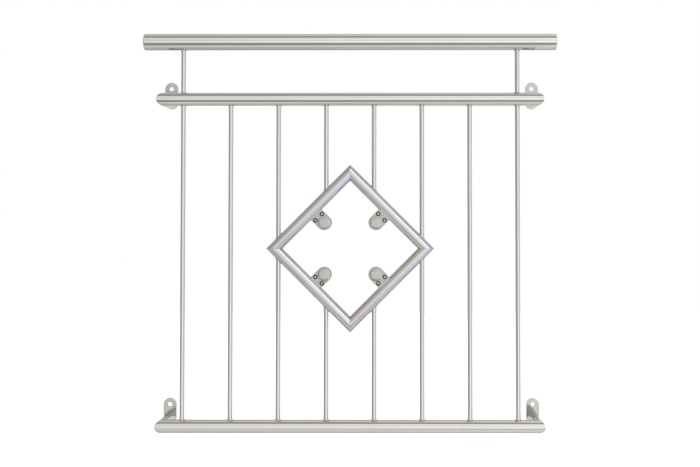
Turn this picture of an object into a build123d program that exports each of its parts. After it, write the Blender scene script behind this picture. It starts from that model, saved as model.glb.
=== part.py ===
from build123d import *
import os
from math import sqrt

os.makedirs("parts", exist_ok=True)

# Juliet balcony railing in stainless steel tube. All sizes are in millimetres.
# +X runs to the right along the railing, +Z is up, and the wall is the plane y = 0.
# The railing stands in front of the wall, towards -Y. The origin is on the back face
# of the lower left wall lug, on the axis of the arm that the lug carries.

# Handrail and its end caps
handrail_diameter = 42.4
handrail_wall = 2.0
handrail_length = 1068.0        # over both caps
handrail_rise = 148.5           # handrail axis above the upper rail's axis
cap_rim = 6.0                   # edge of a cap, beyond the end of the tube
cap_crown = 1.0                 # how far the cap's face bulges beyond its rim
cap_chamfer = 3.0               # broken edge between rim and crown
cap_spigot_length = 18.0        # collar that plugs into the tube
cap_spigot_wall = 2.5
cap_spigot_clearance = 0.1

# Upper and lower rails and the arms that return to the wall
rail_diameter = 33.7
rail_wall = 2.0
rail_length = 1000.0            # over the outsides of the two arms
rail_spacing = 842.5            # from axis to axis
wall_distance = 90.0            # from the wall to the axes of rails, bars and handrail

# Wall lugs, one welded to the end of each arm
lug_width = 34.0
lug_thickness = 6.0
lug_hole_rise = 38.0            # bolt hole above the arm's axis
lug_hole_diameter = 12.0
lug_edge = 0.8                  # chamfer round the front

# Vertical bars, and the two posts under the handrail
bar_diameter = 12.0
bar_count = 8
bar_pitch = 123.5

# Diamond: a square of tube, standing on its corner
diamond_tube_diameter = 30.0
diamond_tube_wall = 2.0
diamond_width = 276.5           # between the axes of opposite tubes
diamond_height = 456.5          # centre above the lower rail's axis

# Pane clamps, one in the middle of each side of the diamond
clamp_width = 38.5
clamp_reach = 48.0              # from the tube's surface to the round tip
clamp_chamfer = 1.5             # round the outer faces
jaw_thickness = 6.5
crown_diameter = 32.0           # round crown on the cover, over its tip
crown_height = 1.2
pane_gap = 6.0                  # clear space for the pane, between the pads
pane_setback = 17.0             # floor of the slot, from the tube's surface
pad_thickness = 1.5
pad_margin = 1.5                # pad's edge inside the edge of its jaw
screw_setback = 9.0             # screw centres, from the tube's surface
screw_spacing = 23.0
screw_hole_diameter = 6.6
screw_recess_diameter = 11.5
screw_recess_depth = 3.8

# Derived places
arm_spacing = rail_length - rail_diameter
center_x = arm_spacing / 2
panel_y = -wall_distance
handrail_z = rail_spacing + handrail_rise
bar_offsets = [(i - (bar_count - 1) / 2) * bar_pitch for i in range(bar_count)]
diamond_tip = diamond_width / sqrt(2)      # from the centre to a corner of the axes
diamond_radius = diamond_tube_diameter / 2
diamond_reach = diamond_tip + diamond_radius * sqrt(2)
clamp_thickness = 2 * (jaw_thickness + pad_thickness) + pane_gap
clamp_tip = diamond_radius + clamp_reach   # this and the next two from the tube's axis
slot_floor = diamond_radius + pane_setback
screw_line = diamond_radius + screw_setback
pad_width = clamp_width - 2 * pad_margin

sides = {"left": -1, "right": 1}
levels = {"upper": 1, "lower": -1}
level_heights = {"upper": rail_spacing, "lower": 0.0}


def save(piece, name):
    piece.part.label = name
    export_step(piece.part, f"parts/{name}.step")


# A round tube along its start plane's normal. Each mitre plane keeps the side it faces.
def make_tube(name, start, length, diameter, wall, mitres=()):
    with BuildPart() as tube:
        with BuildSketch(start):
            Circle(diameter / 2)
            Circle(diameter / 2 - wall, mode=Mode.SUBTRACT)
        extrude(amount=length)
        for mitre in mitres:
            split(bisect_by=mitre, keep=Keep.TOP)
    save(tube, name)


# A round bar between two axes, its ends hollowed to sit on the tubes that it meets.
# Each seat is a plane across a tube, on the tube's axis, and the tube's diameter.
def make_bar(name, x, low, high, seats):
    with BuildPart() as bar:
        with BuildSketch(Plane((x, panel_y, low))):
            Circle(bar_diameter / 2)
        extrude(amount=high - low)
        for seat, diameter in seats:
            with BuildSketch(seat):
                Circle(diameter / 2)
            extrude(amount=diameter + bar_diameter, both=True, mode=Mode.SUBTRACT)
    save(bar, name)


# The seat that a level tube along X gives a bar.
def level_seat(x, z, diameter):
    return Plane((x, panel_y, z), z_dir=(1, 0, 0)), diameter


# A clamp's outline: square at the start, straight sides and a round tip.
def clamp_outline(start, tip, width):
    straight = tip - width / 2
    with Locations(((start + straight) / 2, 0)):
        Rectangle(straight - start, width)
    with Locations((straight, 0)):
        Circle(width / 2)
    with Locations((start - width / 2, 0)):
        Rectangle(width, width, mode=Mode.SUBTRACT)


# Handrail, closed by a crowned cap at each end
handrail_tube_length = handrail_length - 2 * (cap_rim + cap_crown)
handrail_start = Plane((center_x - handrail_tube_length / 2, panel_y, handrail_z), z_dir=(1, 0, 0))
make_tube("handrail", handrail_start, handrail_tube_length, handrail_diameter, handrail_wall)

for side, sign in sides.items():
    cap_plane = Plane(
        (center_x + sign * handrail_tube_length / 2, panel_y, handrail_z),
        x_dir=(sign, 0, 0),
        z_dir=(0, -1, 0),
    )
    outer_radius = handrail_diameter / 2
    spigot_radius = outer_radius - handrail_wall - cap_spigot_clearance
    with BuildPart() as cap:
        with BuildSketch(cap_plane):
            with BuildLine():
                Polyline(
                    (cap_rim + cap_crown, 0),
                    (0, 0),
                    (0, spigot_radius - cap_spigot_wall),
                    (-cap_spigot_length, spigot_radius - cap_spigot_wall),
                    (-cap_spigot_length, spigot_radius),
                    (0, spigot_radius),
                    (0, outer_radius),
                    (cap_rim, outer_radius),
                )
                TangentArc((cap_rim + cap_crown, 0), (cap_rim, outer_radius), tangent=(0, 1))
            make_face()
        outward = Axis(cap_plane.origin, cap_plane.x_dir)
        revolve(axis=outward)
        rounds = cap.edges().filter_by(lambda edge: edge.is_closed)
        chamfer(rounds.sort_by(outward)[-1], cap_chamfer)
    save(cap, f"handrail_cap_{side}")

# Rails and arms, mitred into each other at the corners, with a lug behind each arm
for level, rail_z in level_heights.items():
    corners = {}
    for side, sign in sides.items():
        corners[side] = Vector(center_x + sign * arm_spacing / 2, panel_y, rail_z)
    rail_start = Plane((center_x - rail_length / 2, panel_y, rail_z), z_dir=(1, 0, 0))
    rail_mitres = [Plane(corners[side], z_dir=(-sign, -1, 0)) for side, sign in sides.items()]
    make_tube(f"{level}_rail", rail_start, rail_length, rail_diameter, rail_wall, rail_mitres)

    for side, sign in sides.items():
        arm_start = Plane(corners[side] - Vector(0, rail_diameter / 2, 0), z_dir=(0, 1, 0))
        arm_length = wall_distance + rail_diameter / 2 - lug_thickness
        arm_mitre = Plane(corners[side], z_dir=(sign, 1, 0))
        make_tube(f"{level}_{side}_arm", arm_start, arm_length, rail_diameter, rail_wall, [arm_mitre])

        lug_plane = Plane((corners[side].X, 0, rail_z), x_dir=(0, 0, 1), z_dir=(0, -1, 0))
        with BuildPart() as lug:
            with BuildSketch(lug_plane):
                with Locations((lug_hole_rise / 2, 0)):
                    SlotCenterToCenter(lug_hole_rise, lug_width)
                with Locations((lug_hole_rise, 0)):
                    Circle(lug_hole_diameter / 2, mode=Mode.SUBTRACT)
            extrude(amount=lug_thickness)
            chamfer(lug.faces().sort_by(Axis.Y)[0].outer_wire().edges(), lug_edge)
        save(lug, f"{level}_{side}_lug")

# Posts between the upper rail and the handrail, over the outermost bars
for side, sign in sides.items():
    post_x = center_x + sign * bar_offsets[-1]
    post_seats = [
        level_seat(post_x, rail_spacing, rail_diameter),
        level_seat(post_x, handrail_z, handrail_diameter),
    ]
    make_bar(f"handrail_post_{side}", post_x, rail_spacing, handrail_z, post_seats)

# Bars. Those that meet the diamond end on its tubes, above and below.
for number, offset in enumerate(bar_offsets, start=1):
    bar_x = center_x + offset
    lower_seat = level_seat(bar_x, 0, rail_diameter)
    upper_seat = level_seat(bar_x, rail_spacing, rail_diameter)
    if abs(offset) + bar_diameter / 2 > diamond_reach:
        make_bar(f"bar_{number}", bar_x, 0, rail_spacing, [lower_seat, upper_seat])
        continue
    slope = 1 if offset < 0 else -1
    half_opening = max(diamond_tip - abs(offset), 0)
    over_z = diamond_height + half_opening
    under_z = diamond_height - half_opening
    over_seat = Plane((bar_x, panel_y, over_z), z_dir=(1, 0, slope)), diamond_tube_diameter
    under_seat = Plane((bar_x, panel_y, under_z), z_dir=(1, 0, -slope)), diamond_tube_diameter
    make_bar(f"bar_{number}_upper", bar_x, over_z, rail_spacing, [over_seat, upper_seat])
    make_bar(f"bar_{number}_lower", bar_x, 0, under_z, [lower_seat, under_seat])

# Diamond tubes, mitred at the corners, each with a clamp that points at the centre
diamond_center = Vector(center_x, panel_y, diamond_height)
for level, rise in levels.items():
    for side, sign in sides.items():
        side_tip = diamond_center + Vector(sign * diamond_tip, 0, 0)
        run = Vector(-sign, 0, rise).normalized()
        tube_start = Plane(side_tip - run * diamond_radius, z_dir=run)
        tube_mitres = [
            Plane(diamond_center, z_dir=(0, 0, rise)),
            Plane(diamond_center, z_dir=(sign, 0, 0)),
        ]
        make_tube(
            f"diamond_{level}_{side}_tube",
            tube_start,
            diamond_width + diamond_tube_diameter,
            diamond_tube_diameter,
            diamond_tube_wall,
            tube_mitres,
        )

        # The clamp's planes lie across the railing, with x from the tube's axis to the centre
        tube_middle = diamond_center + Vector(sign, 0, rise) * (diamond_tip / 2)
        middle = Plane(tube_middle, x_dir=(-sign, 0, -rise), z_dir=(0, -1, 0))
        front = middle.offset(clamp_thickness / 2)
        back = middle.offset(-clamp_thickness / 2)
        joint_face = middle.offset(clamp_thickness / 2 - jaw_thickness)
        saddle = Plane(tube_middle, z_dir=run)
        inward = Axis(tube_middle, middle.x_dir)
        screw_places = [(screw_line, -screw_spacing / 2), (screw_line, screw_spacing / 2)]

        crown_center = front.from_local_coords((clamp_tip - clamp_width / 2, 0))
        crown_plane = Plane(crown_center, x_dir=front.x_dir, z_dir=-front.y_dir)
        with BuildPart(front) as cover:
            with BuildSketch(front):
                clamp_outline(0, clamp_tip, clamp_width)
            extrude(amount=-jaw_thickness)
            chamfer(cover.faces().sort_by(Axis.Y)[0].edges().sort_by(inward)[1:], clamp_chamfer)
            with BuildSketch(crown_plane):
                with BuildLine():
                    Polyline((0, crown_height), (0, 0), (crown_diameter / 2, 0))
                    TangentArc((0, crown_height), (crown_diameter / 2, 0), tangent=(1, 0))
                make_face()
            revolve(axis=Axis(crown_center, front.z_dir))
            with BuildSketch(saddle):
                Circle(diamond_radius)
            extrude(amount=clamp_width, both=True, mode=Mode.SUBTRACT)
            with Locations(*screw_places):
                CounterBoreHole(screw_hole_diameter / 2, screw_recess_diameter / 2, screw_recess_depth)
        save(cover, f"{level}_{side}_clamp_cover")

        with BuildPart() as body:
            with BuildSketch(back):
                clamp_outline(0, clamp_tip, clamp_width)
            extrude(amount=jaw_thickness)
            chamfer(body.faces().sort_by(Axis.Y)[-1].edges().sort_by(inward)[1:], clamp_chamfer)
            with BuildSketch(joint_face):
                with Locations((slot_floor / 2, 0)):
                    Rectangle(slot_floor, clamp_width)
            extrude(amount=-(pane_gap + 2 * pad_thickness))
            with BuildSketch(saddle):
                Circle(diamond_radius)
            extrude(amount=clamp_width, both=True, mode=Mode.SUBTRACT)
        save(body, f"{level}_{side}_clamp_body")

        with BuildPart() as pads:
            for pad_level in (pane_gap / 2, -pane_gap / 2 - pad_thickness):
                with BuildSketch(middle.offset(pad_level)):
                    clamp_outline(slot_floor + pad_margin, clamp_tip - pad_margin, pad_width)
                extrude(amount=pad_thickness)
        save(pads, f"{level}_{side}_clamp_pads")
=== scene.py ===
from math import cos, degrees, pi, radians, sin, sqrt

import bpy
from mathutils import Matrix, Vector


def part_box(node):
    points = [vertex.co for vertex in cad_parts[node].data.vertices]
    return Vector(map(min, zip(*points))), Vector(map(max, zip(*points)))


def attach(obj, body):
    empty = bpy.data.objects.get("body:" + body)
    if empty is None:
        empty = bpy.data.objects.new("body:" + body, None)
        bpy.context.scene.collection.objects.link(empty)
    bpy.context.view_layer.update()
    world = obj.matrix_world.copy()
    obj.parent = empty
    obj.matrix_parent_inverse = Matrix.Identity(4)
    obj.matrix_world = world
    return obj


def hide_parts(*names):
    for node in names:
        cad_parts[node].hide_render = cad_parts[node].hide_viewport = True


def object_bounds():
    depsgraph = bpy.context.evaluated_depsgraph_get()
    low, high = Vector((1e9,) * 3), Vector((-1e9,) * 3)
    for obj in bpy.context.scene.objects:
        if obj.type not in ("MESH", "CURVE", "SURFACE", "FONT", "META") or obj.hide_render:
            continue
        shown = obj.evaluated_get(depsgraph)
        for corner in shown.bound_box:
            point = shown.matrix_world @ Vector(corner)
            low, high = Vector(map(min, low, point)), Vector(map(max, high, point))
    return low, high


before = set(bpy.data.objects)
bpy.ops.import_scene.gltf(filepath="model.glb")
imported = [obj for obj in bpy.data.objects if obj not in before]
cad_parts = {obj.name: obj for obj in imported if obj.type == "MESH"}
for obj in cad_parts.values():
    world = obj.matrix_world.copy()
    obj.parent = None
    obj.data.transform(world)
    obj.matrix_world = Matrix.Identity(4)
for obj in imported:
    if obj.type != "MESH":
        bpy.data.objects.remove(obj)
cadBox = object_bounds()
print("frame loaded with", len(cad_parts), "nodes")

sideNames = {"left": -1, "right": 1}
diamondSides = {"upper_left": 0, "upper_right": 1, "lower_right": 2, "lower_left": 3}  # quarter turns


def middleOf(node):
    low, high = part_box(node)
    return (low + high) / 2


def spanOf(node):
    low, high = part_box(node)
    return high - low


# places and radii that several pieces share, all read from the frame
railRadius = spanOf("lower_rail").z / 2
handrailRadius = spanOf("handrail").z / 2
barRadius = spanOf("bar_1").x / 2
diamondRadius = spanOf("diamond_upper_left_tube").y / 2
panelY = middleOf("lower_rail").y
railHeights = {"upper": middleOf("upper_rail").z, "lower": middleOf("lower_rail").z}
handrailHeight = middleOf("handrail").z
armX = {side: middleOf(f"lower_{side}_arm").x for side in sideNames}
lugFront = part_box("lower_left_lug")[0].y
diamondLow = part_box("diamond_lower_left_tube")[0]
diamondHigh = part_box("diamond_upper_right_tube")[1]
diamondCenter = (diamondLow + diamondHigh) / 2
diamondTip = (diamondHigh.x - diamondLow.x) / 2 - diamondRadius * sqrt(2)  # centre to a corner of the axes

samePlace = 1e-6                                  # places nearer than this are one
apart = 1e-4                                      # places further apart than this are two
facing = 0.999                                    # least part of a normal along an axis that a face points to
roundGap = 1e-5                                   # left flat between two corners that are rounded in full


# modelling helpers

def clearSelection():
    bpy.ops.object.select_all(action="DESELECT")


def take(piece):
    clearSelection()
    piece.select_set(True)
    bpy.context.view_layer.objects.active = piece


def named(name):                                  # the new primitive, with its place put into its mesh
    piece = bpy.context.object
    piece.name = name
    piece.data.name = name
    bpy.ops.object.transform_apply(location=True, rotation=True, scale=True)
    return piece


def addRod(name, start, end, radius, sides, ends="NGON"):
    clearSelection()
    run = end - start
    bpy.ops.mesh.primitive_cylinder_add(
        vertices=sides,
        radius=radius,
        depth=run.length,
        end_fill_type=ends,
        location=(start + end) / 2,
        rotation=run.to_track_quat("Z", "Y").to_euler(),
    )
    return named(name)


def addBlock(name, low, high):
    clearSelection()
    bpy.ops.mesh.primitive_cube_add(size=1, location=(low + high) / 2, scale=high - low)
    return named(name)


def applyModifier(piece, kind, settings):
    take(piece)
    modifier = piece.modifiers.new(kind, kind)
    for key, value in settings.items():
        setattr(modifier, key, value)
    bpy.ops.object.modifier_apply(modifier=modifier.name)


def carve(piece, cutter, operation="DIFFERENCE"):
    applyModifier(piece, "BOOLEAN", {"operation": operation, "object": cutter, "solver": "EXACT"})
    bpy.data.objects.remove(cutter)


def enterEdit(kind):
    bpy.ops.object.mode_set(mode="EDIT")
    bpy.ops.mesh.select_mode(type=kind)


def leaveEdit():
    bpy.ops.object.mode_set(mode="OBJECT")


# selects the vertices, edges or faces that pass a test, which gets an edge as the places of its two ends
def pick(piece, kind, test):
    take(piece)
    enterEdit(kind)
    bpy.ops.mesh.select_all(action="DESELECT")
    leaveEdit()
    mesh = piece.data
    for part in {"VERT": mesh.vertices, "EDGE": mesh.edges, "FACE": mesh.polygons}[kind]:
        part.select = test(*[mesh.vertices[i].co for i in part.vertices]) if kind == "EDGE" else test(part)
    enterEdit(kind)


def mergeDoubles(piece, distance=samePlace):
    take(piece)
    enterEdit("VERT")
    bpy.ops.mesh.select_all(action="SELECT")
    bpy.ops.mesh.remove_doubles(threshold=distance)
    bpy.ops.mesh.normals_make_consistent(inside=False)
    leaveEdit()


def breakEdges(piece, width, segments=2, angle=50):
    settings = {"width": width, "segments": segments, "limit_method": "ANGLE", "angle_limit": radians(angle)}
    applyModifier(piece, "BEVEL", settings)


def cutAcross(piece, point, normal):              # removes what lies past a plane and closes the tube's wall
    take(piece)
    enterEdit("EDGE")
    bpy.ops.mesh.select_all(action="SELECT")
    bpy.ops.mesh.bisect(plane_co=point, plane_no=normal, clear_outer=True)
    bpy.ops.mesh.bridge_edge_loops()
    leaveEdit()


def copyOf(piece, name, matrix):                  # a copy with a mesh of its own, moved in its mesh
    made = bpy.data.objects.new(name, piece.data.copy())
    made.data.name = name
    bpy.context.scene.collection.objects.link(made)
    take(made)
    made.matrix_world = matrix
    bpy.ops.object.transform_apply(location=True, rotation=True, scale=True)
    return made


def discard(*masters):
    for master in masters:
        bpy.data.objects.remove(master)


def joined(pieces, name):
    clearSelection()
    for piece in pieces:
        piece.select_set(True)
    bpy.context.view_layer.objects.active = pieces[0]
    bpy.ops.object.join()
    return named(name)


def turnAbout(point, angle, axis):
    there = Matrix.Translation(point)
    return there @ Matrix.Rotation(radians(angle), 4, axis) @ there.inverted()


def fromLowerLeft(level, side):                   # from the railing's lower left corner to another corner
    return Matrix.Translation((armX[side] - armX["left"], 0, railHeights[level] - railHeights["lower"]))


def fromUpperLeft(place):                         # from the diamond's upper left side to another side
    return turnAbout(diamondCenter, 90 * diamondSides[place], "Y")


def finishPiece(piece, material, nodes=(), angle=35):
    take(piece)
    bpy.ops.object.shade_smooth_by_angle(angle=radians(angle))
    applyModifier(piece, "WEIGHTED_NORMAL", {"keep_sharp": True, "weight": 100})
    if material:                                  # None leaves the materials that the mesh has
        piece.data.materials.clear()
        piece.data.materials.append(material)
    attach(piece, "root")
    if nodes:
        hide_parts(*nodes)


# shader helpers

class Wire:                                       # one output of a shader tree, with operators as Math nodes
    def __init__(self, tree, socket=None):
        self.tree = tree
        self.socket = socket

    def node(self, kind, settings=None, sockets=None, out=0):
        made = self.tree.nodes.new(kind)
        for key, value in (settings or {}).items():
            setattr(made, key, value)
        for key, value in (sockets or {}).items():
            if isinstance(value, Wire):
                self.tree.links.new(value.socket, made.inputs[key])
            else:
                made.inputs[key].default_value = value
        return Wire(self.tree, made.outputs[out] if made.outputs else None)

    def math(self, operation, *values):
        return self.node("ShaderNodeMath", {"operation": operation}, dict(enumerate(values)))

    def __add__(self, other):
        return self.math("ADD", self, other)

    def __radd__(self, other):
        return self.math("ADD", other, self)

    def __sub__(self, other):
        return self.math("SUBTRACT", self, other)

    def __rsub__(self, other):
        return self.math("SUBTRACT", other, self)

    def __mul__(self, other):
        return self.math("MULTIPLY", self, other)

    def __rmul__(self, other):
        return self.math("MULTIPLY", other, self)

    def __truediv__(self, other):
        return self.math("DIVIDE", self, other)

    def __rtruediv__(self, other):
        return self.math("DIVIDE", other, self)

    def smooth(self, low, high):                  # eases from 0 at low to 1 at high
        sockets = {"Value": self, "From Min": low, "From Max": high}
        return self.node("ShaderNodeMapRange", {"interpolation_type": "SMOOTHSTEP"}, sockets)

    def between(self, low, high, soft):           # 1 from low to high, with eased ends
        return self.smooth(low - soft, low + soft) - self.smooth(high - soft, high + soft)

    def blend(self, first, second):               # a colour between two, by this value
        return self.node("ShaderNodeMix", {"data_type": "RGBA"}, {0: self, 6: first, 7: second}, 2)

    def noise(self, scale, detail, roughness):
        sockets = {"Vector": self, "Scale": scale, "Detail": detail, "Roughness": roughness}
        return self.node("ShaderNodeTexNoise", None, sockets)

    def stretched(self, scale, turn):             # coordinates turned and then scaled along each axis
        turned = self.node("ShaderNodeMapping", None, {"Vector": self, "Rotation": turn})
        return self.node("ShaderNodeMapping", None, {"Vector": turned, "Scale": scale})


def rgba(colour, strength=1.0):
    return tuple(strength * value for value in colour) + (1.0,)


def newMaterial(name):
    material = bpy.data.materials.new(name)
    material.use_nodes = True
    material.node_tree.nodes.clear()
    wire = Wire(material.node_tree)
    place = wire.node("ShaderNodeTexCoord", out="Object")
    return material, wire, place


def closeMaterial(wire, surface):
    wire.node("ShaderNodeOutputMaterial", None, {"Surface": surface})


noiseKinds = {
    "grain": {"detail": 3.0, "roughness": 0.6},
    "cloud": {"detail": 3.0, "roughness": 0.55},
    "wave": {"detail": 1.0, "roughness": 0.5},
    "mottle": {"detail": 2.0, "roughness": 0.5},
}
noiseMean = 0.5


# Steel: fine scratches, which run round a tube, then clouds of tone and a slow wave in the surface.
# Glance is the share of light that a surface gives back when it is seen edge-on.
def steel(name, look):
    material, wire, place = newMaterial(name)
    grain = place.stretched(look["grain"], look["turn"]).noise(1.0, **noiseKinds["grain"])
    cloud = place.noise(look["cloud"], **noiseKinds["cloud"])
    wave = place.noise(look["wave"], **noiseKinds["wave"])
    grainOff = grain - noiseMean
    cloudOff = cloud - noiseMean
    tone = grainOff * look["grainTone"] + cloudOff * look["cloudTone"] + noiseMean
    gloss = grainOff * look["grainGloss"] + cloudOff * look["cloudGloss"] + look["roughness"]
    height = grain * look["grainHeight"] + wave * look["waveHeight"]
    sockets = {
        "Base Color": tone.blend(rgba(look["dark"]), rgba(look["light"])),
        "Metallic": 1.0,
        "Roughness": gloss,
        "Normal": wire.node("ShaderNodeBump", None, {"Strength": 1.0, "Distance": 1.0, "Height": height}),
        "Specular Tint": rgba((1, 1, 1), look["glance"]),
    }
    closeMaterial(wire, wire.node("ShaderNodeBsdfPrincipled", None, sockets))
    return material


satinLook = {
    "dark": (0.61, 0.6, 0.592),
    "light": (0.71, 0.7, 0.693),
    "roughness": 0.11,
    "cloud": 14.0,
    "wave": 9.0,
    "grainTone": 0.25,
    "cloudTone": 0.6,
    "grainGloss": 0.04,
    "cloudGloss": 0.04,
    "grainHeight": 0.000002,
    "waveHeight": 0.00002,
    "glance": 0.9,
    "turn": (0, 0, 0),
}
barLook = dict(satinLook, roughness=0.13, dark=(0.63, 0.633, 0.634), light=(0.73, 0.732, 0.732))
polishedLook = dict(
    satinLook,
    dark=(0.5, 0.5, 0.51),
    light=(0.59, 0.59, 0.605),
    roughness=0.09,
    wave=28.0,
    waveHeight=0.00016,
)
lugLook = dict(
    satinLook,
    dark=(0.39, 0.385, 0.38),
    light=(0.5, 0.495, 0.485),
    roughness=0.12,
    cloud=60.0,
    wave=42.0,
    waveHeight=0.0007,
)
clampLook = dict(
    satinLook,
    dark=(0.34, 0.34, 0.322),
    light=(0.45, 0.45, 0.428),
    roughness=0.25,
    cloud=90.0,
    wave=160.0,
    grainTone=0.2,
    cloudTone=0.45,
    grainGloss=0.05,
    cloudGloss=0.1,
    grainHeight=0.0,
    waveHeight=0.00004,
)
weldLook = dict(
    clampLook,
    dark=(0.38, 0.37, 0.35),
    light=(0.62, 0.61, 0.58),
    roughness=0.36,
    cloud=300.0,
    wave=700.0,
    cloudTone=0.8,
    waveHeight=0.0002,
)
# a lighter copy of the clamp steel for the crowns: a painted highlight on the domes
crownHighlightLook = dict(clampLook, dark=(0.385, 0.383, 0.368), light=(0.48, 0.477, 0.458), roughness=0.22)
# near-black steel for the screw heads: painted shade for the dark ring in each recess
shadedScrewLook = dict(clampLook, dark=(0.05, 0.05, 0.05), light=(0.12, 0.12, 0.115), roughness=0.34)
# light steel for the faces round each screw socket: a painted highlight
socketHighlightLook = dict(clampLook, dark=(0.6, 0.6, 0.59), light=(0.74, 0.73, 0.71), roughness=0.28)
grains = {                                        # changes of tone in a metre along x, y and z
    "alongX": (1600.0, 45.0, 45.0),
    "alongY": (45.0, 1600.0, 45.0),
    "alongZ": (45.0, 45.0, 1600.0),
    "even": (500.0, 500.0, 500.0),
}


def polished(name, slope):                        # for diamond sides that rise or fall to the right
    return steel(name, dict(polishedLook, grain=grains["alongX"], turn=(0, radians(45 * slope), 0)))


railSteel = steel("satin_rail_steel", dict(satinLook, grain=grains["alongX"]))
armSteel = steel("satin_arm_steel", dict(satinLook, grain=grains["alongY"], glance=0.76))
barSteel = steel("satin_bar_steel", dict(barLook, grain=grains["alongZ"]))
polishedSteels = polished("polished_rising_steel", 1), polished("polished_falling_steel", -1)
lugSteel = steel("lug_steel", dict(lugLook, grain=grains["alongX"]))
clampSteel = steel("clamp_steel", dict(clampLook, grain=grains["even"]))
crownHighlightSteel = steel("clamp_crown_painted_highlight_steel", dict(crownHighlightLook, grain=grains["even"]))
weldSteel = steel("weld_steel", dict(weldLook, grain=grains["even"]))
shadedScrewSteel = steel("painted_shade_screw_steel", dict(shadedScrewLook, grain=grains["even"]))
socketHighlightSteel = steel("painted_highlight_socket_steel", dict(socketHighlightLook, grain=grains["even"]))

rubberLook = {
    "dark": (0.018, 0.018, 0.018),
    "light": (0.05, 0.05, 0.048),
    "roughness": 0.62,
    "speckle": 900.0,
    "speckleGloss": 0.2,
    "speckleHeight": 0.0001,
}


def rubber(name, look):
    material, wire, place = newMaterial(name)
    speckle = place.noise(look["speckle"], **noiseKinds["grain"])
    relief = {"Strength": 1.0, "Distance": look["speckleHeight"], "Height": speckle}
    sockets = {
        "Base Color": speckle.blend(rgba(look["dark"]), rgba(look["light"])),
        "Roughness": speckle * look["speckleGloss"] + look["roughness"],
        "Normal": wire.node("ShaderNodeBump", None, relief),
    }
    closeMaterial(wire, wire.node("ShaderNodeBsdfPrincipled", None, sockets))
    return material


padRubber = rubber("pad_rubber", rubberLook)
print("materials made")

# Rails, arms and diamond sides: tubes with a real wall, mitred into each other
tube = {"sides": 96, "wall": 0.002, "edgeBreak": 0.00025, "spare": 0.03}


def addTube(name, start, end, radius, mitres=()):
    made = addRod(name, start, end, radius, tube["sides"], "NOTHING")
    applyModifier(made, "SOLIDIFY", {"thickness": tube["wall"], "offset": -1.0, "use_even_offset": True})
    for point, normal in mitres:
        cutAcross(made, point, normal)
    breakEdges(made, tube["edgeBreak"])
    return made


handrailLow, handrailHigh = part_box("handrail")
start = Vector((handrailLow.x, panelY, handrailHeight))
end = Vector((handrailHigh.x, panelY, handrailHeight))
finishPiece(addTube("handrail_tube", start, end, handrailRadius), railSteel, ["handrail"])

corners = {side: Vector((x, panelY, railHeights["lower"])) for side, x in armX.items()}
over = railRadius + tube["spare"]                 # past a corner, for the mitre to cut off
start = corners["left"] - Vector((over, 0, 0))
end = corners["right"] + Vector((over, 0, 0))
mitres = [(corners[side], (sign, 1, 0)) for side, sign in sideNames.items()]
masterRail = addTube("rail_master", start, end, railRadius, mitres)
start = corners["left"] - Vector((0, over, 0))
end = Vector((armX["left"], lugFront, railHeights["lower"]))
masterArm = addTube("arm_master", start, end, railRadius, [(corners["left"], (1, -1, 0))])
halfTurns = {"left": Matrix.Identity(4), "right": turnAbout(corners["left"], 180, "Y")}
for level in railHeights:
    rail = copyOf(masterRail, f"{level}_rail_tube", fromLowerLeft(level, "left"))
    finishPiece(rail, railSteel, [f"{level}_rail"])
    for side in sideNames:
        arm = copyOf(masterArm, f"{level}_{side}_arm_tube", fromLowerLeft(level, side) @ halfTurns[side])
        finishPiece(arm, armSteel, [f"{level}_{side}_arm"])

start = diamondCenter - Vector((diamondTip, 0, 0))
end = diamondCenter + Vector((0, 0, diamondTip))
over = (end - start).normalized() * (diamondRadius + tube["spare"])
mitres = [(diamondCenter, (0, 0, -1)), (diamondCenter, (1, 0, 0))]
masterSide = addTube("side_master", start - over, end + over, diamondRadius, mitres)
for place, quarter in diamondSides.items():
    made = copyOf(masterSide, f"diamond_{place}_side", fromUpperLeft(place))
    finishPiece(made, polishedSteels[quarter % 2], [f"diamond_{place}_tube"])
discard(masterRail, masterArm, masterSide)
print("tubes made")

# Handrail caps: a turned plug with a rounded edge and a crowned face
cap = {
    "edgeRadius": 0.0024,
    "edgeSegments": 6,
    "crown": 0.0004,
    "crownRings": 6,
    "spigotWall": 0.0022,
    "spigot": 0.018,
}


def addCap(name):                                 # the right one
    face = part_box("handrail_cap_right")[1].x - cap["crown"]
    joint = Vector((handrailHigh.x, panelY, handrailHeight))
    made = addRod(name, joint, Vector((face, panelY, handrailHeight)), handrailRadius, tube["sides"])
    pick(made, "EDGE", lambda a, b: min(a.x, b.x) > face - samePlace)
    bpy.ops.mesh.bevel(offset=cap["edgeRadius"], segments=cap["edgeSegments"], profile=0.5)
    leaveEdit()
    pick(made, "FACE", lambda f: f.normal.x > facing)
    flat = handrailRadius - cap["edgeRadius"]
    height = 0.0
    for ring in range(1, cap["crownRings"]):
        bpy.ops.mesh.inset(thickness=flat / cap["crownRings"])
        inner = 1 - ring / cap["crownRings"]
        rise = cap["crown"] * (1 - inner ** 2)
        bpy.ops.transform.translate(value=(rise - height, 0, 0))
        height = rise
    bpy.ops.mesh.poke()
    leaveEdit()
    pick(made, "FACE", lambda f: f.normal.x < -facing)
    bpy.ops.mesh.inset(thickness=cap["spigotWall"])
    bpy.ops.mesh.extrude_region_move(TRANSFORM_OT_translate={"value": (-cap["spigot"], 0, 0)})
    leaveEdit()
    return made


masterCap = addCap("cap_master")
capTurns = {"left": turnAbout(middleOf("handrail"), 180, "Z"), "right": Matrix.Identity(4)}
for side, turn in capTurns.items():
    made = copyOf(masterCap, f"handrail_{side}_cap", turn)
    finishPiece(made, railSteel, [f"handrail_cap_{side}"])
discard(masterCap)
print("handrail caps made")

# Wall lugs: round-ended plates with a bolt hole
lug = {"roundSegments": 24, "edgeBreak": 0.0007, "breakSegments": 3, "holeRadius": 0.006, "holeSides": 48}


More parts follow.
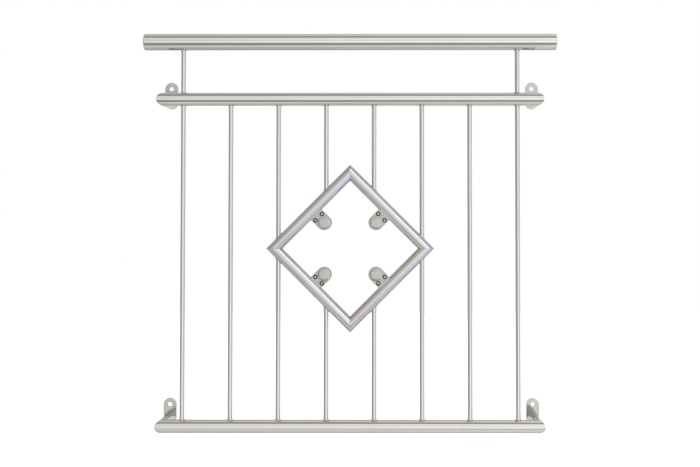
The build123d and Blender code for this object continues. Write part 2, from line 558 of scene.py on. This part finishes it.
def addLug(name):                                 # the lower left one
    low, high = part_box("lower_left_lug")
    width = high.x - low.x
    made = addBlock(name, low, high)
    pick(made, "EDGE", lambda a, b: abs(a.y - b.y) > apart)
    bpy.ops.mesh.bevel(offset=width / 2 - roundGap, segments=lug["roundSegments"], profile=0.5)
    leaveEdit()
    middle = (low + high) / 2
    through = Vector((0, high.y - low.y, 0))
    hole = Vector((middle.x, middle.y, high.z - width / 2))
    carve(made, addRod("hole_cutter", hole - through, hole + through, lug["holeRadius"], lug["holeSides"]))
    mergeDoubles(made, roundGap)
    breakEdges(made, lug["edgeBreak"], lug["breakSegments"])
    return made


masterLug = addLug("lug_master")
for level in railHeights:
    for side in sideNames:
        made = copyOf(masterLug, f"{level}_{side}_wall_lug", fromLowerLeft(level, side))
        finishPiece(made, lugSteel, [f"{level}_{side}_lug"])
discard(masterLug)
print("wall lugs made")

# Bars and posts: round rods, hollowed at the ends to sit on the tubes that they meet
rod = {"sides": 48, "seatSides": 128, "seatReach": 0.03}
rodNodes = [node for node in sorted(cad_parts) if node.startswith("bar_") or "post" in node]
rodX = {node: middleOf(node).x for node in rodNodes}


def seatRod(x, height, slope, radius):            # the cutter that a tube gives a rod's end
    along = Vector((1, 0, slope)).normalized() * rod["seatReach"]
    place = Vector((x, panelY, height))
    return addRod("seat_cutter", place - along, place + along, radius, rod["seatSides"])


def endsOf(node):                                 # at each end of a rod: the tube's height, slope and radius
    if "post" in node:
        return [(railHeights["upper"], 0, railRadius), (handrailHeight, 0, handrailRadius)]
    offset = rodX[node] - diamondCenter.x
    opening = diamondTip - abs(offset)
    slope = 1 if offset < 0 else -1
    lowEnd = (railHeights["lower"], 0, railRadius)
    highEnd = (railHeights["upper"], 0, railRadius)
    if node.endswith("upper"):
        lowEnd = (diamondCenter.z + opening, slope, diamondRadius)
    if node.endswith("lower"):
        highEnd = (diamondCenter.z - opening, -slope, diamondRadius)
    return [lowEnd, highEnd]


def addBar(name, node):
    x = rodX[node]
    low, high = endsOf(node)
    foot = Vector((x, panelY, low[0]))
    made = addRod(name, foot, Vector((x, panelY, high[0])), barRadius, rod["sides"])
    for seat in (low, high):
        carve(made, seatRod(x, *seat))
    return made


masterRods = {}                                   # one for each pair of ends, with the place it was made at
for node, x in rodX.items():
    pattern = tuple((round(height, 4), slope) for height, slope, radius in endsOf(node))
    if pattern not in masterRods:
        masterRods[pattern] = addBar("rod_master", node), x
    master, madeAt = masterRods[pattern]
    made = copyOf(master, f"{node}_rod", Matrix.Translation((x - madeAt, 0, 0)))
    finishPiece(made, barSteel, [node])
discard(*[master for master, madeAt in masterRods.values()])
print("bars and posts made:", len(rodX))

# Weld beads: a ring at each end of each rod that follows the tube's surface, and one behind each arm
weld = {
    "bead": 0.0013,
    "spread": 0.0005,
    "rings": 40,
    "sides": 10,
    "lugBead": 0.0007,
    "lugInset": 0.0002,
    "lugEnds": 0.2,                               # height over the arm's axis, as a share of its radius
    "lugRings": 80,
    "smoothAngle": 80,
}


def addBead(name, radius, slope):                 # round a rod that stands on a tube's top, at the origin
    reach = barRadius + weld["spread"]
    clearSelection()
    bpy.ops.mesh.primitive_torus_add(
        major_radius=reach,
        minor_radius=weld["bead"],
        major_segments=weld["rings"],
        minor_segments=weld["sides"],
    )
    made = named(name)
    steep = sqrt(1 + slope ** 2)
    for ring in range(weld["rings"]):
        turn = 2 * pi * ring / weld["rings"]
        sag = sqrt(radius ** 2 - (reach * sin(turn)) ** 2) - radius
        pick(made, "VERT", lambda v: v.index // weld["sides"] == ring)
        bpy.ops.transform.translate(value=(0, 0, slope * reach * cos(turn) + steep * sag))
        leaveEdit()
    return made


def addLugBead(name):                             # over the lower left arm, where it meets its lug
    middle = Vector((armX["left"], lugFront, railHeights["lower"]))
    clearSelection()
    bpy.ops.mesh.primitive_torus_add(
        major_radius=railRadius - weld["lugInset"],
        minor_radius=weld["lugBead"],
        major_segments=weld["lugRings"],
        minor_segments=weld["sides"],
        location=middle,
        rotation=(radians(90), 0, 0),
    )
    made = named(name)
    enterEdit("EDGE")
    bpy.ops.mesh.select_all(action="SELECT")
    ends = middle + Vector((0, 0, weld["lugEnds"] * railRadius))
    bpy.ops.mesh.bisect(plane_co=ends, plane_no=(0, 0, 1), clear_inner=True, use_fill=True)
    leaveEdit()
    return made


masterBeads = {
    (radius, slope): addBead("bead_master", radius, slope)
    for radius, slope in ((railRadius, 0), (handrailRadius, 0), (diamondRadius, 1), (diamondRadius, -1))
}
masterLugBead = addLugBead("lug_bead_master")
levelWelds = {
    railHeights["lower"]: "lower_rail_welds",
    railHeights["upper"]: "upper_rail_welds",
    handrailHeight: "handrail_welds",
}
beads = {"lower_rail_welds": [], "upper_rail_welds": [], "handrail_welds": [], "diamond_welds": []}
for node, x in rodX.items():
    for side, (height, slope, radius) in zip((1, -1), endsOf(node)):
        top = Vector((x, panelY, height + side * radius * sqrt(1 + slope ** 2)))
        place = Matrix.Translation(top) @ Matrix.Diagonal((1, 1, side, 1))
        group = beads[levelWelds.get(height, "diamond_welds")]
        group.append(copyOf(masterBeads[radius, slope * side], "bead", place))
beads["lug_welds"] = [
    copyOf(masterLugBead, "bead", fromLowerLeft(level, side)) for level in railHeights for side in sideNames
]
discard(masterLugBead, *masterBeads.values())
for name, group in beads.items():
    made = joined(group, name)
    mergeDoubles(made)
    finishPiece(made, weldSteel, angle=weld["smoothAngle"])
print("weld beads made:", sum(len(group) for group in beads.values()))

# Pane clamps: modelled lying along +X from the tube's axis, then turned to each side of the diamond
clamp = {
    "width": 0.0385,
    "reach": 0.048,
    "jaw": 0.0065,
    "pad": 0.0015,
    "padMargin": 0.0015,
    "paneSetback": 0.017,
    "overlap": 0.001,
    "edgeRound": 0.0018,
    "edgeSegments": 5,
    "edgeBreak": 0.0003,
    "breakAngle": 60,
    "tipSegments": 24,
    "screwSetback": 0.009,
    "screwSpacing": 0.023,
    "recessRadius": 0.00575,
    "recessDepth": 0.0038,
    "recessSides": 48,
    "recessSpare": 0.002,
    "crown": 0.016,
    "crownRise": 0.0012,
    "crownStep": 0.0003,
    "crownRings": 8,
    "crownPower": 4,
}
clampTip = diamondRadius + clamp["reach"]
slotFloor = diamondRadius + clamp["paneSetback"]
frontLow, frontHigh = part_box("upper_left_clamp_cover")
depth = {                                         # along Y from the middle of the tube
    "front": frontLow.y + clamp["crownRise"] - panelY,
    "joint": frontHigh.y - panelY,
    "back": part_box("upper_left_clamp_body")[1].y - panelY,
}
depth["seat"] = depth["back"] - clamp["jaw"]


def atDepth(y, *places):
    return all(abs(place.y - y) < samePlace for place in places)


def addJaw(name, start, tip, width, frontY, backY, roundY=None):     # a plate with a round tip
    made = addBlock(name, Vector((start, frontY, -width / 2)), Vector((tip, backY, width / 2)))
    pick(made, "EDGE", lambda a, b: abs(a.y - b.y) > apart and a.x > start + apart)
    bpy.ops.mesh.bevel(offset=width / 2 - roundGap, segments=clamp["tipSegments"], profile=0.5)
    leaveEdit()
    mergeDoubles(made, 3 * roundGap)              # the flat is twice the gap
    if roundY is not None:
        pick(made, "EDGE", lambda a, b: atDepth(roundY, a, b) and max(a.x, b.x) > start + apart)
        bpy.ops.mesh.bevel(offset=clamp["edgeRound"], segments=clamp["edgeSegments"], profile=0.5)
        leaveEdit()
    return made


def breakClampEdges(piece):
    breakEdges(piece, clamp["edgeBreak"], angle=clamp["breakAngle"])


def saddleCutter():
    half = Vector((0, 0, clamp["width"]))
    return addRod("saddle_cutter", -half, half, diamondRadius, rod["seatSides"])


def screwPlaces():
    for side in (-1, 1):
        yield Vector((diamondRadius + clamp["screwSetback"], 0, side * clamp["screwSpacing"] / 2))


def addCrown(name):                               # the round crown over a cover's tip
    tip = Vector((clampTip - clamp["width"] / 2, depth["front"], 0))
    foot = tip + Vector((0, clamp["jaw"] / 2, 0))
    edge = tip - Vector((0, clamp["crownStep"], 0))
    made = addRod(name, foot, edge, clamp["crown"], tube["sides"])
    pick(made, "FACE", lambda f: f.normal.y < -facing)
    bulge = clamp["crownRise"] - clamp["crownStep"]
    height = 0.0
    for ring in range(1, clamp["crownRings"]):
        bpy.ops.mesh.inset(thickness=clamp["crown"] / clamp["crownRings"])
        rise = bulge * (1 - (1 - ring / clamp["crownRings"]) ** clamp["crownPower"])
        bpy.ops.transform.translate(value=(0, height - rise, 0))
        height = rise
    leaveEdit()
    return made


def addCover(name):                               # the front half, with the crown's faces in a lighter copy of the steel, a painted highlight
    made = addJaw(name, 0.0, clampTip, clamp["width"], depth["front"], depth["joint"], depth["front"])
    carve(made, addCrown("crown"), "UNION")
    carve(made, saddleCutter())
    for place in screwPlaces():
        top = place + Vector((0, depth["front"] - clamp["recessSpare"], 0))
        floor = place + Vector((0, depth["front"] + clamp["recessDepth"], 0))
        carve(made, addRod("recess_cutter", top, floor, clamp["recessRadius"], clamp["recessSides"]))
    breakClampEdges(made)
    made.data.materials.append(clampSteel)
    made.data.materials.append(crownHighlightSteel)
    # faces in front of the cover's face get the lighter steel, the crown's painted highlight
    for face in made.data.polygons:
        face.material_index = 1 if face.center.y < depth["front"] - roundGap else 0
    return made


def addBody(name):                                # the back half, with the block that fills it to the joint
    made = addJaw(name, 0.0, clampTip, clamp["width"], depth["seat"], depth["back"], depth["back"])
    low = Vector((0.0, depth["joint"], -clamp["width"] / 2))
    high = Vector((slotFloor, depth["seat"] + clamp["overlap"], clamp["width"] / 2))
    carve(made, addBlock("block", low, high), "UNION")
    carve(made, saddleCutter())
    breakClampEdges(made)
    return made


def addPads(name):
    ends = slotFloor + clamp["padMargin"], clampTip - clamp["padMargin"]
    width = clamp["width"] - 2 * clamp["padMargin"]
    front = depth["joint"], depth["joint"] + clamp["pad"]
    back = depth["seat"] - clamp["pad"], depth["seat"]
    made = joined([addJaw("pad", *ends, width, *faces) for faces in (front, back)], name)
    breakClampEdges(made)
    return made


# Clamp screws: a domed head in each recess, with a shallow hexagon socket. The head is painted near black as
# painted shade for the dark ring in the recess, and the socket's middle is painted bright as a painted
# highlight
screw = {
    "radius": 0.0054,
    "sides": 48,
    "neck": 0.0006,
    "rise": 0.0026,
    "dome": 0.6,                                  # the share of the radius that the dome takes
    "rings": 6,
    "socket": 0.0019,
    "socketSides": 6,
    "socketDepth": 0.0009,
    "highlightRadius": 0.002,
}


def addScrew(name, place):
    foot = place + Vector((0, depth["front"] + clamp["recessDepth"], 0))
    shoulder = foot - Vector((0, screw["neck"], 0))
    made = addRod(name, foot, shoulder, screw["radius"], screw["sides"])
    pick(made, "FACE", lambda f: f.normal.y < -facing)
    height = 0.0
    for ring in range(1, screw["rings"] + 1):
        inner = 1 - screw["dome"] * ring / screw["rings"]
        rise = screw["rise"] * sqrt(1 - inner ** 2)
        bpy.ops.mesh.inset(thickness=screw["dome"] * screw["radius"] / screw["rings"])
        bpy.ops.transform.translate(value=(0, height - rise, 0))
        height = rise
    leaveEdit()
    top = shoulder - Vector((0, height, 0))
    down = Vector((0, screw["socketDepth"], 0))
    carve(made, addRod("socket_cutter", top - down, top + down, screw["socket"], screw["socketSides"]))
    # the dark steel on the head is painted shade, and the light steel on faces near the socket is a painted
    # highlight
    made.data.materials.append(shadedScrewSteel)
    made.data.materials.append(socketHighlightSteel)
    for face in made.data.polygons:
        away = face.center - top
        face.material_index = 1 if sqrt(away.x ** 2 + away.z ** 2) < screw["highlightRadius"] else 0
    return made


cover = addCover("cover_master")
body = addBody("body_master")
pads = addPads("pads_master")
screws = joined([addScrew("screw", place) for place in screwPlaces()], "screws_master")
middleOfSide = diamondCenter + Vector((-diamondTip / 2, 0, diamondTip / 2))
toUpperLeft = Matrix.Translation(middleOfSide) @ Matrix.Rotation(radians(45), 4, "Y")
for place in diamondSides:
    spot = fromUpperLeft(place) @ toUpperLeft
    made = copyOf(cover, f"{place}_clamp_front", spot)
    finishPiece(made, None, [f"{place}_clamp_cover"])
    made = copyOf(body, f"{place}_clamp_back", spot)
    finishPiece(made, clampSteel, [f"{place}_clamp_body"])
    made = copyOf(pads, f"{place}_clamp_rubbers", spot)
    finishPiece(made, padRubber, [f"{place}_clamp_pads"])
    finishPiece(copyOf(screws, f"{place}_clamp_screws", spot), None)
discard(cover, body, pads, screws)
print("clamps made:", len(diamondSides))

# Stage: a pale floor below the railing, and a white reflector under the lower rail that only reflections show
stage = {
    "floorDrop": 1.4,
    "floorSize": 30.0,
    "floorColour": (0.92, 0.92, 0.915),
    "floorLift": 0.5,
    "cardDrop": 0.25,
    "cardNear": 0.14,
    "cardFar": 0.85,
    "cardWidth": 1.5,
    "cardColour": (0.9, 0.885, 0.87),
    "cardLift": 0.22,
    "mottle": 3.0,
    "mottleTone": 0.985,
    "roughness": 0.9,
}


def paint(name, colour, lift, ray):               # lift is light added for one kind of ray, to look white
    material, wire, place = newMaterial(name)
    mottle = place.noise(stage["mottle"], **noiseKinds["mottle"])
    tint = mottle.blend(rgba(colour, stage["mottleTone"]), rgba(colour))
    sockets = {"Base Color": tint, "Roughness": stage["roughness"], "Specular IOR Level": 0.0}
    matt = wire.node("ShaderNodeBsdfPrincipled", None, sockets)
    seen = wire.node("ShaderNodeLightPath", out=ray)
    light = seen.blend(rgba((0, 0, 0)), rgba((1, 1, 1), lift))
    glow = wire.node("ShaderNodeEmission", None, {"Color": light, "Strength": 1.0})
    closeMaterial(wire, wire.node("ShaderNodeAddShader", None, {0: matt, 1: glow}))
    return material


clearSelection()
floorHeight = cadBox[0].z - stage["floorDrop"]
bpy.ops.mesh.primitive_plane_add(size=stage["floorSize"], location=(diamondCenter.x, panelY, floorHeight))
floor = named("floor")
floor.data.materials.append(paint("floor_paint", stage["floorColour"], stage["floorLift"], "Is Camera Ray"))
floor.visible_glossy = False

clearSelection()
cardMiddle = panelY - (stage["cardNear"] + stage["cardFar"]) / 2
cardHeight = railHeights["lower"] - stage["cardDrop"]
bpy.ops.mesh.primitive_plane_add(size=1, location=(diamondCenter.x, cardMiddle, cardHeight))
bpy.context.object.scale = stage["cardWidth"], stage["cardFar"] - stage["cardNear"], 1
card = named("reflector")
card.data.materials.append(paint("reflector_paint", stage["cardColour"], stage["cardLift"], "Is Glossy Ray"))
card.visible_camera = False
card.visible_diffuse = False
card.visible_shadow = False

# Studio: grey surroundings with lighter and darker cards. Roll goes round the view axis from the right,
# anticlockwise as the camera sees it, and near and far are angles away from the camera's direction.
# Strips run level in front of the rails and over them, between two angles above the camera's direction.
studio = {
    "grey": (0.68, 0.675, 0.665),
    "white": (1.0, 1.0, 1.0),
    "soft": 7.0,
    "backdrop": 155.0,
    "pole": 1e-6,                                 # keeps roll defined straight ahead and straight behind
    "cards": {
        "floor": {"roll": 270, "spread": 75, "near": 10, "far": 86, "colour": (0.82, 0.805, 0.79)},
        "floor behind": {"roll": 270, "spread": 75, "near": 86, "far": 200, "colour": (0.64, 0.625, 0.615)},
        "front wall": {"roll": 55, "spread": 95, "near": -30, "far": 55, "colour": (1.06, 1.05, 1.0)},
        "right wall": {"roll": 0, "spread": 28, "near": 42, "far": 100, "colour": (0.86, 0.855, 0.85)},
        "cool card": {"roll": 315, "spread": 20, "near": 14, "far": 50, "colour": (1.22, 1.25, 1.48)},
        "cool flag": {"roll": 315, "spread": 20, "near": 50, "far": 105, "colour": (0.95, 0.98, 1.13)},
        "left card": {"roll": 180, "spread": 30, "near": 10, "far": 46, "colour": (0.38, 0.38, 0.378)},
        "left flag": {"roll": 180, "spread": 30, "near": 46, "far": 125, "colour": (0.41, 0.41, 0.408)},
        "left wall": {"roll": 225, "spread": 22, "near": 14, "far": 112, "colour": (0.71, 0.715, 0.725)},
        "warm card": {"roll": 135, "spread": 20, "near": 14, "far": 44, "colour": (0.97, 0.88, 0.72)},
        "warm flag": {"roll": 135, "spread": 20, "near": 44, "far": 76, "colour": (0.65, 0.6, 0.51)},
        "dark flag": {"roll": 135, "spread": 20, "near": 76, "far": 115, "colour": (0.53, 0.5, 0.44)},
        "soft box": {"roll": 45, "spread": 18, "near": 20, "far": 63, "colour": (1.7, 1.72, 1.75)},
        "right flag": {"roll": 45, "spread": 20, "near": 68, "far": 115, "colour": (0.78, 0.785, 0.795)},
    },
    "stripEnds": (0.26, 0.34),
    "stripLean": 0.5,
    "strips": {
        "floor edge": {"low": -190, "high": -125, "soft": 8, "colour": (0.58, 0.57, 0.56)},
        "floor behind": {"low": -125, "high": -91, "soft": 4, "colour": (0.7, 0.685, 0.675)},
        "floor": {"low": -91, "high": -51, "soft": 4, "colour": (0.9, 0.88, 0.865)},
        "floor gap": {"low": -51, "high": -19, "soft": 4, "colour": (0.38, 0.375, 0.365)},
        "front glow": {"low": -16, "high": 10, "soft": 4, "colour": (1.3, 1.3, 1.27)},
        "window bar": {"low": 10, "high": 17, "soft": 2.5, "colour": (0.88, 0.87, 0.83)},
        "window": {"low": 17, "high": 53, "soft": 2.5, "colour": (1.14, 1.125, 1.07)},
        "ceiling gap": {"low": 56, "high": 83, "soft": 4, "slant": 24, "colour": (0.4, 0.39, 0.37)},
        "ceiling": {"low": 86, "high": 128, "soft": 5, "colour": (0.87, 0.855, 0.845)},
        "ceiling edge": {"low": 128, "high": 190, "soft": 8, "colour": (0.5, 0.49, 0.48)},
    },
}


def buildStudio(look):
    world = bpy.data.worlds.new("studio")
    bpy.context.scene.world = world
    world.use_nodes = True
    world.node_tree.nodes.clear()
    wire = Wire(world.node_tree)
    way = wire.node("ShaderNodeTexCoord", out="Generated")
    x, y, z = [wire.node("ShaderNodeSeparateXYZ", None, {"Vector": way}, out) for out in ("X", "Y", "Z")]
    aside = wire.math("SQRT", x * x + z * z + look["pole"])
    tilt = wire.math("ARCCOSINE", 0 - y) * degrees(1)
    soft = look["soft"]
    light = rgba(look["grey"])
    for card in look["cards"].values():
        roll = radians(card["roll"])
        toward = (x * cos(roll) + z * sin(roll)) / aside
        wide = toward.smooth(cos(radians(card["spread"] + soft)), cos(radians(card["spread"] - soft)))
        light = (wide * tilt.between(card["near"], card["far"], soft)).blend(light, rgba(card["colour"]))

    rise = wire.math("ARCTAN2", z, 0 - y) * degrees(1)
    level = rgba(look["grey"])
    for strip in look["strips"].values():
        across = x * strip.get("slant", 0) + rise
        level = across.between(strip["low"], strip["high"], strip["soft"]).blend(level, rgba(strip["colour"]))
    lean = x * look["stripLean"] + 1
    level = wire.node("ShaderNodeVectorMath", {"operation": "SCALE"}, {0: level, "Scale": lean})
    light = wire.math("ABSOLUTE", x).smooth(*look["stripEnds"]).blend(level, light)

    seen, glossy, through = [
        wire.node("ShaderNodeLightPath", out=f"Is {ray} Ray") for ray in ("Camera", "Glossy", "Transmission")
    ]
    behind = tilt.smooth(look["backdrop"] - soft, look["backdrop"] + soft)
    mirrored = wire.math("MAXIMUM", glossy, through) * behind
    shown = wire.math("MAXIMUM", seen, mirrored).blend(light, rgba(look["white"]))
    background = wire.node("ShaderNodeBackground", None, {"Color": shown, "Strength": 1.0})
    wire.node("ShaderNodeOutputWorld", None, {"Surface": background})


buildStudio(studio)

# Camera, at the photograph's place. Its axis is some pixels off the middle, because the picture was cropped
view = {
    "imageWidth": 700,
    "focalLength": 910.68,
    "axisRight": 31.68,
    "axisAbove": 45.0,
    "place": (0.5733, -2.4432, 0.5554),
    "turnLeft": 0.212,
    "tiltUp": 1.36,
    "sensor": 36.0,
}
cameraData = bpy.data.cameras.new("camera")
cameraData.sensor_width = view["sensor"]
cameraData.lens = view["focalLength"] / view["imageWidth"] * view["sensor"]
cameraData.shift_x = -view["axisRight"] / view["imageWidth"]
cameraData.shift_y = -view["axisAbove"] / view["imageWidth"]
camera = bpy.data.objects.new("camera", cameraData)
camera.location = view["place"]
camera.rotation_euler = (radians(90 + view["tiltUp"]), 0, radians(view["turnLeft"]))
bpy.context.scene.collection.objects.link(camera)
bpy.context.scene.camera = camera

bpy.context.scene.view_settings.view_transform = "Standard"
clearSelection()
print("stage, studio and camera made")
